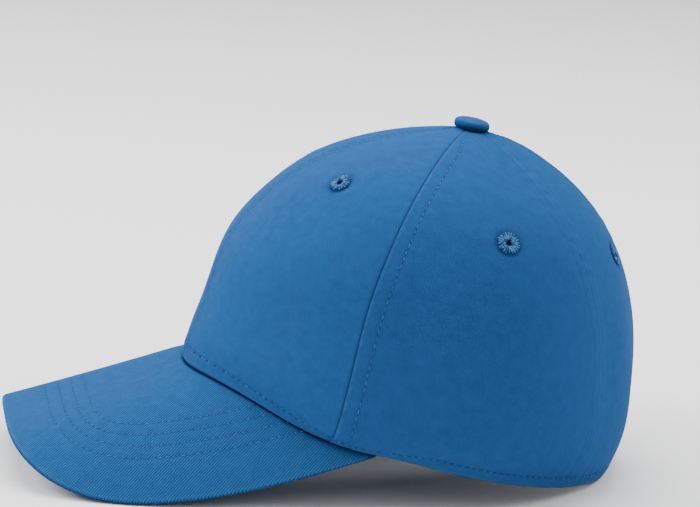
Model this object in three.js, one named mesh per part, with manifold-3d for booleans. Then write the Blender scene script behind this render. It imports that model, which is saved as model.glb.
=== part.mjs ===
// A ponytail baseball cap of blue cotton twill: a crown of six panels whose two back panels part
// in a long lens-shaped slit, a button, six eyelets, a sweatband and a curved peak of two covers.
// Every shape is first worked out on the hat's own frame, in millimetres: the origin lies on the
// rim plane under the button, +Z is up, the peak points to -Y and the wearer's left is +X.
// The finished cap is then tipped onto the floor, where its peak and the back of its rim rest.
import * as THREE from "three";
import { mergeVertices } from "three/addons/utils/BufferGeometryUtils.js";
import Module from "manifold-3d";

const wasm = await Module();
wasm.setup();

const DEGREE = Math.PI / 180;

// Crown, to the outside of the cloth. The reaches run from the button's axis to the rim.
const crownHeight = 131.9;
const rimFrontReach = 98.8;
const rimSideReach = 80.5;
const rimBackReach = 95.2;
const widestSetBack = 16.8;
const crownLean = 0.045;
const crownWall = 1.6;
const panelPuff = 0.8;
const seamGap = 0.3;

// Seams, as azimuths from the middle of the front. The rear one bows and drifts as it climbs.
const frontSeamAzimuth = 58.2;
const rearSeamAzimuth = 124;
const rearSeamBow = 8.6;
const rearSeamDrift = -11.9;

// Ponytail slit along the middle of the back, measured along the cloth.
const slitWidth = 21;
const slitFoot = 17;
const slitHead = 13;
const slitEdgePower = 0.9;

// Sweatband inside the rim, lower where it passes under the slit.
const bandHeight = 30;
const bandSlitClearance = 4;
const bandWall = 1.2;
const bandGap = 0.8;

// Peak. Its rises are the heights of its root above the rim plane, in the middle and at the ends.
const peakLength = 70.6;
const peakEndAzimuth = 68.9;
const peakEndFlare = 0.6;
const peakSquareness = 3.48;
const peakRootRise = 6.1;
const peakEndRise = 1.2;
const peakSlope = 0.545;
const peakRearSlope = 0.49;
const peakCurlRadius = 1667;
const peakArchPower = 3.15;
const peakCoverWall = 1.2;
const peakPlyGap = 0.5;
const peakRootGap = 0.3;
const peakBlendAzimuth = 30;
const peakBlendLead = 0.6;
const rootDropAzimuth = 25;

// Button over the top of the crown, with a stem through the cloth.
const buttonRadius = 7.7;
const buttonHeight = 4.4;
const buttonEdgeTuck = 0.25;
const buttonStemRadius = 2;
const buttonSeatGap = 0.3;

// Eyelets, each a stitched ring through a hole in the middle of a panel.
const eyeletRadius = 5.2;
const eyeletBore = 1.25;
const eyeletBarrelRadius = 2.3;
const eyeletRise = 0.7;
const eyeletInnerRadius = 4.2;
const eyeletInnerRise = 0.6;
const eyeletGap = 0.45;
const eyeletHeights = { front: 0.78, side: 0.74, back: 0.72 };

// The back of the rim is pressed flat where it rests on the floor.
const restPress = 1.2;

// How finely the sheets are divided.
const panelColumns = 10;
const panelClimbs = [0, 2.5, 5, 7.5, 10, 14, 19, 25, 31, 38, 45, 52, 59, 66, 72, 77, 81.5, 85.5, 90];
const bandRowShares = [0, 0.19, 0.38, 0.57, 0.76, 1];
const peakColumns = 32;
const peakRows = 8;
const lathedSides = 20;
const eyeletSides = 14;

// Sections of the crown. A point's height is the crown's height times the sine of its climb, and
// its reach is the rim's reach times the cosine of its climb times the share in the table.
const CROWN_SECTIONS = [
  { climb: 0, front: 1, side: 1, back: 1 },
  { climb: 6, front: 0.998, side: 1.105, back: 1.03 },
  { climb: 12, front: 0.999, side: 1.13, back: 1.055 },
  { climb: 20, front: 1.024, side: 1.145, back: 1.061 },
  { climb: 30, front: 1.07, side: 1.23, back: 1.073 },
  { climb: 40, front: 1.085, side: 1.295, back: 1.093 },
  { climb: 50, front: 1.085, side: 1.34, back: 1.119 },
  { climb: 60, front: 1.04, side: 1.31, back: 1.12 },
  { climb: 70, front: 0.93, side: 1.135, back: 1.105 },
  { climb: 80, front: 0.81, side: 0.91, back: 1.06 },
  { climb: 90, front: 0.7, side: 0.68, back: 1 },
];

// Soft dents of the worn cloth, on both sides: where each lies, how far it spreads around and up
// the crown in degrees, and how deep it is as a share of the wall. A negative depth is a swell.
const CROWN_DENTS = [
  { azimuth: 100, climb: 10, around: 16, up: 6, depth: 0.7 },
  { azimuth: 132, climb: 26, around: 7, up: 14, depth: 0.8 },
  { azimuth: 70, climb: 30, around: 7, up: 18, depth: 0.5 },
  { azimuth: 30, climb: 42, around: 12, up: 10, depth: 0.5 },
  { azimuth: 160, climb: 14, around: 9, up: 7, depth: 0.6 },
  { azimuth: 112, climb: 48, around: 12, up: 9, depth: -0.5 },
  { azimuth: 0, climb: 78, around: 60, up: 9, depth: 0.65 },
];

// A smooth cubic curve through the points of a table column, straight at both of its ends.
function curveThrough(places, values) {
  const count = places.length;
  const bends = new Array(count).fill(0);
  const carried = new Array(count).fill(0);
  for (let i = 1; i < count - 1; i++) {
    const before = places[i] - places[i - 1];
    const after = places[i + 1] - places[i];
    const slopeChange = (values[i + 1] - values[i]) / after - (values[i] - values[i - 1]) / before;
    const pivot = 2 * (before + after) - before * carried[i - 1];
    carried[i] = after / pivot;
    bends[i] = (6 * slopeChange - before * bends[i - 1]) / pivot;
  }
  for (let i = count - 2; i > 0; i--) bends[i] -= carried[i] * bends[i + 1];
  return (place) => {
    let i = 0;
    while (i < count - 2 && place > places[i + 1]) i++;
    const span = places[i + 1] - places[i];
    const t = (place - places[i]) / span;
    const u = 1 - t;
    const sag = ((u ** 3 - u) * bends[i] + (t ** 3 - t) * bends[i + 1]) * (span * span) / 6;
    return u * values[i] + t * values[i + 1] + sag;
  };
}

const climbs = CROWN_SECTIONS.map((row) => row.climb);
const frontShare = curveThrough(climbs, CROWN_SECTIONS.map((row) => row.front));
const sideShare = curveThrough(climbs, CROWN_SECTIONS.map((row) => row.side));
const backShare = curveThrough(climbs, CROWN_SECTIONS.map((row) => row.back));

function smoothStep(t) {
  const held = Math.min(Math.max(t, 0), 1);
  return held * held * (3 - 2 * held);
}

// The bare shape of the crown, before the puff of its panels, its dents and the arch of the rim.
function bareCrownPoint(azimuth, climb) {
  const share = Math.sin(climb * DEGREE);
  const out = Math.cos(climb * DEGREE);
  const front = rimFrontReach * frontShare(climb) * out;
  const side = rimSideReach * sideShare(climb) * out;
  const back = rimBackReach * backShare(climb) * out;
  const setBack = widestSetBack * out * out;
  const ahead = Math.cos(azimuth * DEGREE);
  const y = ahead > 0 ? setBack - (front + setBack) * ahead : setBack - (back - setBack) * ahead;
  const x = side * Math.sin(azimuth * DEGREE);
  return new THREE.Vector3(x, y, crownHeight * share + crownLean * y * share * share);
}

// The azimuth of the seams at a climb: the middle of the front, two side seams, the middle of the back.
function rearSeamAt(climb) {
  const share = Math.sin(climb * DEGREE);
  return rearSeamAzimuth + rearSeamBow * 4 * share * (1 - share) + rearSeamDrift * share;
}

// How far the point stands out from the bare shape through the puff of its panel and the dents.
function crownRelief(azimuth, climb) {
  const around = Math.abs(azimuth);
  const rearSeam = rearSeamAt(climb);
  let across = around / frontSeamAzimuth;
  if (around > frontSeamAzimuth) across = (around - frontSeamAzimuth) / (rearSeam - frontSeamAzimuth);
  if (around > rearSeam) across = (around - rearSeam) / (180 - rearSeam);
  let relief = panelPuff * Math.sin(Math.PI * across) * Math.sin(2 * climb * DEGREE);
  for (const dent of CROWN_DENTS) {
    const aside = (around - dent.azimuth) / dent.around;
    const above = (climb - dent.climb) / dent.up;
    relief -= dent.depth * crownWall * Math.exp(-aside * aside - above * above);
  }
  return relief;
}

const peakEnd = bareCrownPoint(peakEndAzimuth, 0);
const peakEndDistance = peakEnd.y + rimFrontReach;
const peakEndCurl = peakEndDistance ** 2 / (2 * peakCurlRadius);
const peakArchDrop = peakRootRise + peakRearSlope * peakEndDistance + peakEndCurl - peakEndRise;

// The height of the peak's upper face over a point of the plan. It slopes down ahead of the crown
// and arches down to both sides, so that its ends come down to the rim.
function peakHeightAt(x, y) {
  const behind = y + rimFrontReach;
  const slope = behind > 0 ? peakRearSlope : peakSlope;
  const arch = peakArchDrop * (Math.abs(x) / peakEnd.x) ** peakArchPower;
  return peakRootRise + slope * behind + behind ** 2 / (2 * peakCurlRadius) - arch;
}

function peakNormalAt(x, y) {
  const step = 0.01;
  const slopeX = (peakHeightAt(x + step, y) - peakHeightAt(x - step, y)) / (2 * step);
  const slopeY = (peakHeightAt(x, y + step) - peakHeightAt(x, y - step)) / (2 * step);
  return new THREE.Vector3(-slopeX, -slopeY, 1).normalize();
}

// How far the arch of the peak lifts the cloth near the rim, fading out behind the peak's ends.
function rimLift(azimuth, x, y) {
  const left = (peakEndAzimuth - Math.abs(azimuth)) / peakBlendAzimuth + peakBlendLead;
  return smoothStep(left) * peakHeightAt(x, y);
}

// In front, the rim reaches down over the whole root edge of the peak.
const peakDepth = 2 * peakCoverWall + peakPlyGap;

function rootDrop(azimuth) {
  return peakDepth * smoothStep((peakEndAzimuth - Math.abs(azimuth)) / rootDropAzimuth);
}

// A point of the crown's cloth, a given depth inside its outer face.
const RIM_FADE_SHARE = 0.35;
function crownPoint(azimuth, climb, inset = 0) {
  const step = 0.2;
  const low = Math.max(climb - step, 0);
  const high = Math.min(climb + step, 90);
  const upward = bareCrownPoint(azimuth, high).sub(bareCrownPoint(azimuth, low));
  const aroundStep = bareCrownPoint(azimuth + step, Math.min(climb, 89.5));
  aroundStep.sub(bareCrownPoint(azimuth - step, Math.min(climb, 89.5)));
  const normal = aroundStep.cross(upward).normalize();
  const bare = bareCrownPoint(azimuth, climb);
  const point = bare.clone().addScaledVector(normal, crownRelief(azimuth, climb) - inset);
  if (climb === 0) point.z = 0;
  point.z -= rootDrop(azimuth) * Math.max(1 - climb / panelClimbs[1], 0);
  const fade = 1 - smoothStep(Math.sin(climb * DEGREE) / RIM_FADE_SHARE);
  point.z += fade * rimLift(azimuth, bare.x, bare.y);
  return point;
}

// Resting place: the cap is tipped about X until its peak and the back of its rim touch the floor.
function peakOutline(turn) {
  const aside = Math.sin(turn * DEGREE);
  const ahead = Math.cos(turn * DEGREE);
  const halfWidth = peakEnd.x + peakEndFlare;
  const length = peakLength + rimFrontReach + peakEnd.y;
  const power = peakSquareness;
  const size = ((Math.abs(aside) / halfWidth) ** power + (ahead / length) ** power) ** (-1 / power);
  return { x: size * aside, y: peakEnd.y - size * ahead };
}

// Where a ply of the peak meets the leaning outer face of the rim: the ply's height there is sought
// by halving between the foot of the rim and a climb that lies above the peak all round.
function peakRoot(azimuth, depth) {
  let low = 0;
  let high = 8;
  for (let i = 0; i < 20; i++) {
    const middle = (low + high) / 2;
    const wall = crownPoint(azimuth, middle, -peakRootGap);
    const plyHeight = peakHeightAt(wall.x, wall.y) - depth / peakNormalAt(wall.x, wall.y).z;
    if (wall.z < plyHeight) low = middle;
    else high = middle;
  }
  return crownPoint(azimuth, low, -peakRootGap);
}

// A point of one face of the peak: turn runs from -90 to 90 along the peak, forth runs from 0 at
// its root to 1 at its edge, and depth is measured down from its upper face.
function peakPoint(turn, forth, depth) {
  const root = peakRoot((turn / 90) * peakEndAzimuth, depth);
  const edge = peakOutline(turn);
  const x = root.x + (edge.x - root.x) * forth;
  const y = root.y + (edge.y - root.y) * forth;
  const normal = peakNormalAt(x, y);
  const held = depth * (1 - forth) ** 2;
  const onFace = new THREE.Vector3(x + normal.x * held, y + normal.y * held, 0);
  onFace.z = peakHeightAt(onFace.x, onFace.y);
  return onFace.addScaledVector(normal, -depth);
}

function lowestOfPeak(tilt) {
  let lowest = Infinity;
  for (let column = 0; column <= peakColumns; column++) {
    const point = peakPoint(-90 + (180 * column) / peakColumns, 1, peakDepth);
    lowest = Math.min(lowest, point.z * Math.cos(tilt) - point.y * Math.sin(tilt));
  }
  return lowest;
}

function backOfRim(tilt) {
  const point = crownPoint(180, 0);
  return point.z * Math.cos(tilt) - point.y * Math.sin(tilt) + restPress;
}

function restingTilt() {
  let least = 0;
  let most = 45 * DEGREE;
  for (let i = 0; i < 50; i++) {
    const middle = (least + most) / 2;
    if (lowestOfPeak(middle) < backOfRim(middle)) least = middle;
    else most = middle;
  }
  return (least + most) / 2;
}

const restTilt = restingTilt();
const restLift = -lowestOfPeak(restTilt);

function restingPoint(point) {
  const y = point.y * Math.cos(restTilt) + point.z * Math.sin(restTilt);
  const z = point.z * Math.cos(restTilt) - point.y * Math.sin(restTilt) + restLift;
  return new THREE.Vector3(point.x, y, Math.max(z, 0));
}

function restingDirection(direction) {
  return direction.clone().applyAxisAngle(new THREE.Vector3(1, 0, 0), -restTilt);
}

// Solid helpers: a closed mesh from faces given as lists of corners, faces turned outwards.
function closedSolid(positions) {
  const geometry = new THREE.BufferGeometry();
  geometry.setAttribute("position", new THREE.Float32BufferAttribute(positions, 3));
  const merged = mergeVertices(geometry, 1e-3);
  return turnedOutwards(merged);
}

function turnedOutwards(geometry) {
  const at = geometry.attributes.position;
  const order = geometry.index.array;
  const corner = (i) => new THREE.Vector3().fromBufferAttribute(at, order[i]);
  let volume = 0;
  for (let i = 0; i < order.length; i += 3) volume += corner(i).dot(corner(i + 1).cross(corner(i + 2)));
  if (volume < 0) {
    for (let i = 0; i < order.length; i += 3) [order[i + 1], order[i + 2]] = [order[i + 2], order[i + 1]];
  }
  geometry.computeVertexNormals();
  return geometry;
}

// A sheet with a thickness: pointAt(row, column, face) gives face 0, the outer one, and face 1.
function sheetSolid(rows, columns, pointAt, closedRound = false) {
  const grid = [0, 1].map((face) => {
    const lines = [];
    for (let row = 0; row <= rows; row++) {
      const line = [];
      for (let column = 0; column <= columns; column++) line.push(pointAt(row, column, face));
      if (closedRound) line[columns] = line[0];
      lines.push(line);
    }
    return lines;
  });
  const positions = [];
  const quad = (a, b, c, d) => {
    for (const p of [a, b, c, a, c, d]) positions.push(p.x, p.y, p.z);
  };
  const [outer, inner] = grid;
  for (let row = 0; row < rows; row++) {
    for (let column = 0; column < columns; column++) {
      const next = column + 1;
      quad(outer[row][column], outer[row][next], outer[row + 1][next], outer[row + 1][column]);
      quad(inner[row][next], inner[row][column], inner[row + 1][column], inner[row + 1][next]);
    }
    if (!closedRound) {
      quad(inner[row][0], outer[row][0], outer[row + 1][0], inner[row + 1][0]);
      quad(outer[row][columns], inner[row][columns], inner[row + 1][columns], outer[row + 1][columns]);
    }
  }
  for (let column = 0; column < columns; column++) {
    const next = column + 1;
    quad(inner[0][column], inner[0][next], outer[0][next], outer[0][column]);
    quad(outer[rows][column], outer[rows][next], inner[rows][next], inner[rows][column]);
  }
  return closedSolid(positions);
}

function toManifold(geometry) {
  const bare = geometry.clone();
  bare.deleteAttribute("normal");
  bare.deleteAttribute("uv");
  const merged = mergeVertices(bare, 1e-3);
  return new wasm.Manifold(
    new wasm.Mesh({
      numProp: 3,
      vertProperties: merged.attributes.position.array,
      triVerts: new Uint32Array(merged.index.array),
    }),
  );
}

function cutFrom(geometry, cutter) {
  const mesh = toManifold(geometry).subtract(toManifold(cutter)).getMesh();
  const cut = new THREE.BufferGeometry();
  cut.setAttribute("position", new THREE.BufferAttribute(mesh.vertProperties, 3));
  cut.setIndex(new THREE.BufferAttribute(mesh.triVerts, 1));
  cut.computeVertexNormals();
  return cut;
}

// The slit's half width at a climb, from the length of the back meridian up to it.
const backMeridian = [0];
for (let climb = 1; climb <= 90; climb++) {
  const stretch = bareCrownPoint(180, climb).distanceTo(bareCrownPoint(180, climb - 1));
  backMeridian.push(backMeridian[climb - 1] + stretch);
}

function backLengthTo(climb) {
  const below = Math.min(Math.floor(climb), 89);
  return backMeridian[below] + (climb - below) * (backMeridian[below + 1] - backMeridian[below]);
}

function slitHalfWidth(climb) {
  const opening = backMeridian[90] - slitHead - slitFoot;
  const along = (backLengthTo(climb) - slitFoot) / opening;
  if (along <= 0 || along >= 1) return seamGap / 2;
  return Math.max((slitWidth / 2) * Math.sin(Math.PI * along) ** slitEdgePower, seamGap / 2);
}

// Half of the gap at a seam, as a change of azimuth.
function halfGapAt(azimuth, climb) {
  const step = 0.5;
  const ahead = bareCrownPoint(azimuth + step, climb);
  const speed = ahead.distanceTo(bareCrownPoint(azimuth - step, climb)) / (2 * step);
  return seamGap / 2 / speed;
}

function slitEdgeAzimuth(climb) {
  const side = rimSideReach * sideShare(climb) * Math.cos(climb * DEGREE);
  return 180 - Math.asin(Math.min(slitHalfWidth(climb) / side, 1)) / DEGREE;
}

// The climb at which a meridian meets the hole for the button's stem.
const crownTop = new THREE.Vector3(0, 0, crownHeight);
const crownTopNormal = new THREE.Vector3(0, -crownLean, 1).normalize();

function topClimb(azimuth) {
  const holeRadius = buttonStemRadius + buttonSeatGap;
  let low = 70;
  let high = 90;
  for (let i = 0; i < 40; i++) {
    const middle = (low + high) / 2;
    const away = bareCrownPoint(azimuth, middle).sub(crownTop);
    away.addScaledVector(crownTopNormal, -away.dot(crownTopNormal));
    if (away.length() > holeRadius) low = middle;
    else high = middle;
  }
  return low;
}

const PANELS = {
  front: { from: () => 0, to: () => frontSeamAzimuth, height: eyeletHeights.front },
  side: { from: () => frontSeamAzimuth, to: rearSeamAt, height: eyeletHeights.side },
  back: { from: rearSeamAt, to: slitEdgeAzimuth, height: eyeletHeights.back, slit: true },
};
const SIDES = { left: 1, right: -1 };

// Rows bunch up towards the stem hole only near the top.
const TOP_BUNCHING = 8;
function climbOfRow(row, azimuth) {
  const climb = panelClimbs[row];
  return climb - (90 - topClimb(azimuth)) * (climb / 90) ** TOP_BUNCHING;
}

function panelGeometry(panel, side) {
  return sheetSolid(panelClimbs.length - 1, panelColumns, (row, column, face) => {
    const nominal = Math.min(panelClimbs[row], 88);
    const across = column / panelColumns;
    const middle = panel.from(nominal) + (panel.to(nominal) - panel.from(nominal)) * across;
    const climb = climbOfRow(row, middle);
    const from = panel.from(climb) + halfGapAt(panel.from(climb), climb);
    const to = panel.slit ? panel.to(climb) : panel.to(climb) - halfGapAt(panel.to(climb), climb);
    return restingPoint(crownPoint(side * (from + (to - from) * across), climb, face * crownWall));
  });
}

// The middle of a panel at its eyelet: the point on the outer face and the direction outwards.
function eyeletSeat(panel, side) {
  const climb = Math.asin(panel.height) / DEGREE;
  const farEdge = panel.slit ? 180 : panel.to(climb);
  const azimuth = (side * (panel.from(climb) + farEdge)) / 2;
  const outer = crownPoint(azimuth, climb);
  const inner = crownPoint(azimuth, climb, crownWall);
  return {
    place: restingPoint(outer),
    outwards: restingDirection(outer.sub(inner).normalize()),
  };
}

function seated(object, place, outwards) {
  object.position.copy(place);
  object.quaternion.setFromUnitVectors(new THREE.Vector3(0, 0, 1), outwards);
  object.updateMatrix();
  return object;
}

function lathedAlongZ(profile, sides) {
  const geometry = new THREE.LatheGeometry(profile.map(([r, z]) => new THREE.Vector2(r, z)), sides);
  geometry.rotateX(Math.PI / 2);
  geometry.deleteAttribute("normal");
  geometry.deleteAttribute("uv");
  return turnedOutwards(mergeVertices(geometry, 1e-3));
}

function eyeletHoleCutter(seat) {
  const radius = eyeletBarrelRadius + eyeletGap;
  const cutter = new THREE.CylinderGeometry(radius, radius, 6 * crownWall, eyeletSides);
  cutter.rotateX(Math.PI / 2);
  const holder = seated(new THREE.Object3D(), seat.place, seat.outwards);
  return cutter.applyMatrix4(holder.matrix);
}

// An eyelet's section: a flange on each face of the cloth and a barrel through it.
function eyeletGeometry() {
  const over = eyeletGap;
  const under = -(crownWall + 1.5 * eyeletGap);
  const crest = (eyeletRadius + eyeletBarrelRadius) / 2;
  const profile = [
    [eyeletBore, under - eyeletInnerRise * 0.6],
    [eyeletBore, over + eyeletRise * 0.6],
    [eyeletBarrelRadius, over + eyeletRise],
    [crest, over + eyeletRise],
    [eyeletRadius, over + eyeletRise * 0.4],
    [eyeletRadius, over],
    [eyeletBarrelRadius, over],
    [eyeletBarrelRadius, under],
    [eyeletInnerRadius, under],
    [eyeletInnerRadius, under - eyeletInnerRise * 0.6],
    [eyeletBarrelRadius, under - eyeletInnerRise],
    [eyeletBore, under - eyeletInnerRise * 0.6],
  ];
  return lathedAlongZ(profile, eyeletSides);
}

// The button's section: a low dome with a turned-in edge, on a stem that ends inside the cloth.
function buttonGeometry() {
  const seat = buttonSeatGap;
  const profile = [
    [0, -crownWall - seat],
    [buttonStemRadius, -crownWall - seat],
    [buttonStemRadius, seat],
    [buttonRadius * 0.93, seat - buttonEdgeTuck],
    [buttonRadius, seat + buttonHeight * 0.16],
    [buttonRadius * 0.98, seat + buttonHeight * 0.42],
    [buttonRadius * 0.86, seat + buttonHeight * 0.7],
    [buttonRadius * 0.6, seat + buttonHeight * 0.9],
    [buttonRadius * 0.3, seat + buttonHeight * 0.98],
    [0, seat + buttonHeight],
  ];
  return lathedAlongZ(profile, lathedSides);
}

// The sweatband's columns stand behind those of the panels.
const bandColumns = 6 * panelColumns;

function bandAzimuth(column) {
  const seams = [0, frontSeamAzimuth, rearSeamAzimuth, 180];
  const steps = Math.abs(column - bandColumns / 2);
  const panel = Math.min(Math.floor(steps / panelColumns), 2);
  const across = steps / panelColumns - panel;
  return Math.sign(column - bandColumns / 2) * (seams[panel] + (seams[panel + 1] - seams[panel]) * across);
}

// The sweatband stands inside the rim, as low as the rim itself.
function bandGeometry() {
  const lowHeight = slitFoot - bandSlitClearance;
  return sheetSolid(
    bandRowShares.length - 1,
    bandColumns,
    (row, column, face) => {
      const azimuth = bandAzimuth(column);
      const underSlit = smoothStep((Math.abs(azimuth) - 115) / 45);
      const height = bandHeight + (lowHeight - bandHeight) * underSlit;
      const climb = (Math.asin(height / crownHeight) / DEGREE) * bandRowShares[row];
      return restingPoint(crownPoint(azimuth, climb, crownWall + bandGap + face * bandWall));
    },
    true,
  );
}

function peakCoverGeometry(top) {
  return sheetSolid(peakRows, peakColumns, (row, column, face) => {
    const turn = -90 + (180 * column) / peakColumns;
    return restingPoint(peakPoint(turn, row / peakRows, top + face * peakCoverWall));
  });
}

// Materials, one for each kind of cloth.
const cloth = (color) => new THREE.MeshStandardMaterial({ color, roughness: 0.92, metalness: 0 });
const panelCloth = cloth(0x1b5a92);
const peakCloth = cloth(0x2a6aa4);
const underCloth = cloth(0x1a568c);
const bandCloth = cloth(0x174e80);
const threadCloth = cloth(0x2d6ca6);

const cap = new THREE.Group();

function add(name, geometry, material) {
  const mesh = new THREE.Mesh(geometry, material);
  mesh.name = name;
  cap.add(mesh);
  return mesh;
}

for (const [panelName, panel] of Object.entries(PANELS)) {
  for (const [sideName, side] of Object.entries(SIDES)) {
    const seat = eyeletSeat(panel, side);
    const cut = cutFrom(panelGeometry(panel, side), eyeletHoleCutter(seat));
    add(`panel_${panelName}_${sideName}`, cut, panelCloth);
    const eyelet = add(`eyelet_${panelName}_${sideName}`, eyeletGeometry(), threadCloth);
    seated(eyelet, seat.place, seat.outwards);
  }
}

const button = add("button", buttonGeometry(), panelCloth);
seated(button, restingPoint(crownTop), restingDirection(crownTopNormal));

add("peak_top_cover", peakCoverGeometry(0), peakCloth);
add("peak_under_cover", peakCoverGeometry(peakCoverWall + peakPlyGap), underCloth);
add("sweatband", bandGeometry(), bandCloth);

// The origin lies on the floor under the middle of the cap.
const box = new THREE.Box3().setFromObject(cap, true);
cap.position.y = -(box.min.y + box.max.y) / 2;

export default cap;
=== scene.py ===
import math
from types import SimpleNamespace

import bmesh
import bpy
import numpy as np
from mathutils import Matrix, Vector


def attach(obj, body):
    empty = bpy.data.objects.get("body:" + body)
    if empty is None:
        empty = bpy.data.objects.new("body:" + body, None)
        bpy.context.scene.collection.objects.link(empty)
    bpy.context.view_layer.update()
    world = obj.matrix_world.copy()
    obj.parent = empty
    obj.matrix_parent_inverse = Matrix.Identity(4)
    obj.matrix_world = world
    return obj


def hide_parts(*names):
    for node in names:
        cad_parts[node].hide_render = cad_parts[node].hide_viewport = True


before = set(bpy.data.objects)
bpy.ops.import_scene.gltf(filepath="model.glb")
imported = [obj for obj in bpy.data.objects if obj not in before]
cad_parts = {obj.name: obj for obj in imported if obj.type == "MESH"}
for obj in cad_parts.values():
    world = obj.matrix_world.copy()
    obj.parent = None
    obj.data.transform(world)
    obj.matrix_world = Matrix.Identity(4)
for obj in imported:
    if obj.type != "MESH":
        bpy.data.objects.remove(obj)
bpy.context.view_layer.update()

# The studio: a camera at the photograph's angle, from the wearer's left and a little above,
# a plain pale floor that the cap rests on, and soft light from the front, above and behind.
CAMERA_AZIMUTH = 78.731
CAMERA_ELEVATION = 12.615
CAMERA_ROLL = 3.175
CAMERA_DISTANCE = 1.088
CAMERA_AIM = Vector((0.0, 0.01032, 0.09048))
CAMERA_LENS = 129.087

azimuth, elevation, roll = (math.radians(a) for a in (CAMERA_AZIMUTH, CAMERA_ELEVATION, CAMERA_ROLL))
backward = Vector((
    math.sin(azimuth) * math.cos(elevation),
    -math.cos(azimuth) * math.cos(elevation),
    math.sin(elevation),
))
level = Vector((math.cos(azimuth), math.sin(azimuth), 0))
upward = backward.cross(level)
rightward = level * math.cos(roll) + upward * math.sin(roll)
upright = upward * math.cos(roll) - level * math.sin(roll)
def placed(name, data):
    made = bpy.data.objects.new(name, data)
    bpy.context.scene.collection.objects.link(made)
    return made


def new_material(name, finish):
    material = bpy.data.materials.new(name)
    material.use_nodes = True
    for label, value in finish.items():
        material.node_tree.nodes["Principled BSDF"].inputs[label].default_value = value
    return material


camera_data = bpy.data.cameras.new("camera")
camera_data.lens = CAMERA_LENS
camera_data.sensor_width = 36
camera_data.clip_start = 0.01
camera_data.clip_end = 50
camera = placed("camera", camera_data)
axes = Matrix((rightward, upright, backward)).transposed().to_4x4()
camera.matrix_world = Matrix.Translation(CAMERA_AIM + backward * CAMERA_DISTANCE) @ axes
bpy.context.scene.camera = camera

FLOOR_COLOUR = (0.86, 0.86, 0.86, 1)
FLOOR_REACH = 6
floor_corners = [(-1, -1), (1, -1), (1, 1), (-1, 1)]
floor_mesh = bpy.data.meshes.new("floor")
floor_mesh.from_pydata([(x * FLOOR_REACH, y * FLOOR_REACH, 0) for x, y in floor_corners], [], [(0, 1, 2, 3)])
floor_mesh.materials.append(new_material("pale_floor", {"Base Color": FLOOR_COLOUR, "Roughness": 0.9}))
floor = placed("floor", floor_mesh)

WORLD_BRIGHTNESS = 0.62
world = bpy.data.worlds.new("studio")
world.use_nodes = True
world.node_tree.nodes["Background"].inputs["Color"].default_value = (1, 1, 1, 1)
world.node_tree.nodes["Background"].inputs["Strength"].default_value = WORLD_BRIGHTNESS
bpy.context.scene.world = world

LIGHTS_AIM = Vector((0, 0, 0.07))
STUDIO_LIGHTS = {
    "front_softbox": {"place": (-0.25, -1.5, 1.25), "size": 1.2, "power": 47},
    "top_softbox": {"place": (-0.45, 0.0, 1.9), "size": 1.5, "power": 53},
    "back_softbox": {"place": (0.1, 1.6, 1.3), "size": 1.1, "power": 28},
}
for name, lamp in STUDIO_LIGHTS.items():
    lamp_data = bpy.data.lights.new(name, "AREA")
    lamp_data.size = lamp["size"]
    lamp_data.energy = lamp["power"]
    softbox = placed(name, lamp_data)
    softbox.location = lamp["place"]
    softbox.rotation_euler = (LIGHTS_AIM - softbox.location).to_track_quat("-Z", "Y").to_euler()

# Crown: six panels of blue cotton twill, cut to shape and sewn edge to edge with felled seams,
# each topstitched beside its seam. The rim is turned up and stitched, and the two back panels
# part in a long hemmed slit for the ponytail. Shapes are worked out on the hat's own frame.
CROWN_HEIGHT = 0.1319
RIM_FRONT_REACH = 0.0988
RIM_SIDE_REACH = 0.0805
RIM_BACK_REACH = 0.0952
WIDEST_SET_BACK = 0.0168
CROWN_LEAN = 0.045
PANEL_PUFF = 0.0008
CAD_WALL = 0.0016
FRONT_SEAM = 58.2
REAR_SEAM = 124
REAR_SEAM_BOW = 8.6
REAR_SEAM_DRIFT = -11.9
SLIT_WIDTH = 0.021
SLIT_FOOT = 0.017
SLIT_HEAD = 0.013
SLIT_EDGE_POWER = 0.9
STEM_HOLE_RADIUS = 0.0023
PEAK_END = 68.9
PEAK_ROOT_RISE = 0.0061
PEAK_END_RISE = 0.0012
PEAK_SLOPE = 0.545
PEAK_REAR_SLOPE = 0.49
PEAK_CURL_RADIUS = 1.667
PEAK_ARCH_POWER = 3.15
PEAK_DEPTH = 0.0029
PEAK_BLEND_AZIMUTH = 30
PEAK_BLEND_LEAD = 0.6
ROOT_DROP_AZIMUTH = 25
ROOT_DROP_CLIMB = 2.5
RIM_FADE_SHARE = 0.35
# How the whole cap is tipped back and lifted onto the floor, as the CAD solids are.
REST_TILT = 0.19480949926
REST_LIFT = 0.01722875794
REST_SHIFT = 0.03501963425
CROWN_SECTIONS = np.array([
    # climb, front, side, back
    (0, 1, 1, 1),
    (6, 0.998, 1.105, 1.03),
    (12, 0.999, 1.13, 1.055),
    (20, 1.024, 1.145, 1.061),
    (30, 1.07, 1.23, 1.073),
    (40, 1.085, 1.295, 1.093),
    (50, 1.085, 1.34, 1.119),
    (60, 1.04, 1.31, 1.12),
    (70, 0.93, 1.135, 1.105),
    (80, 0.81, 0.91, 1.06),
    (90, 0.7, 0.68, 1),
])
CROWN_DENTS = [
    # azimuth, climb, around, up, depth
    (100, 10, 16, 6, 0.7),
    (132, 26, 7, 14, 0.8),
    (70, 30, 7, 18, 0.5),
    (30, 42, 12, 10, 0.5),
    (160, 14, 9, 7, 0.6),
    (112, 48, 12, 9, -0.5),
    (0, 78, 60, 9, 0.65),
]


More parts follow.
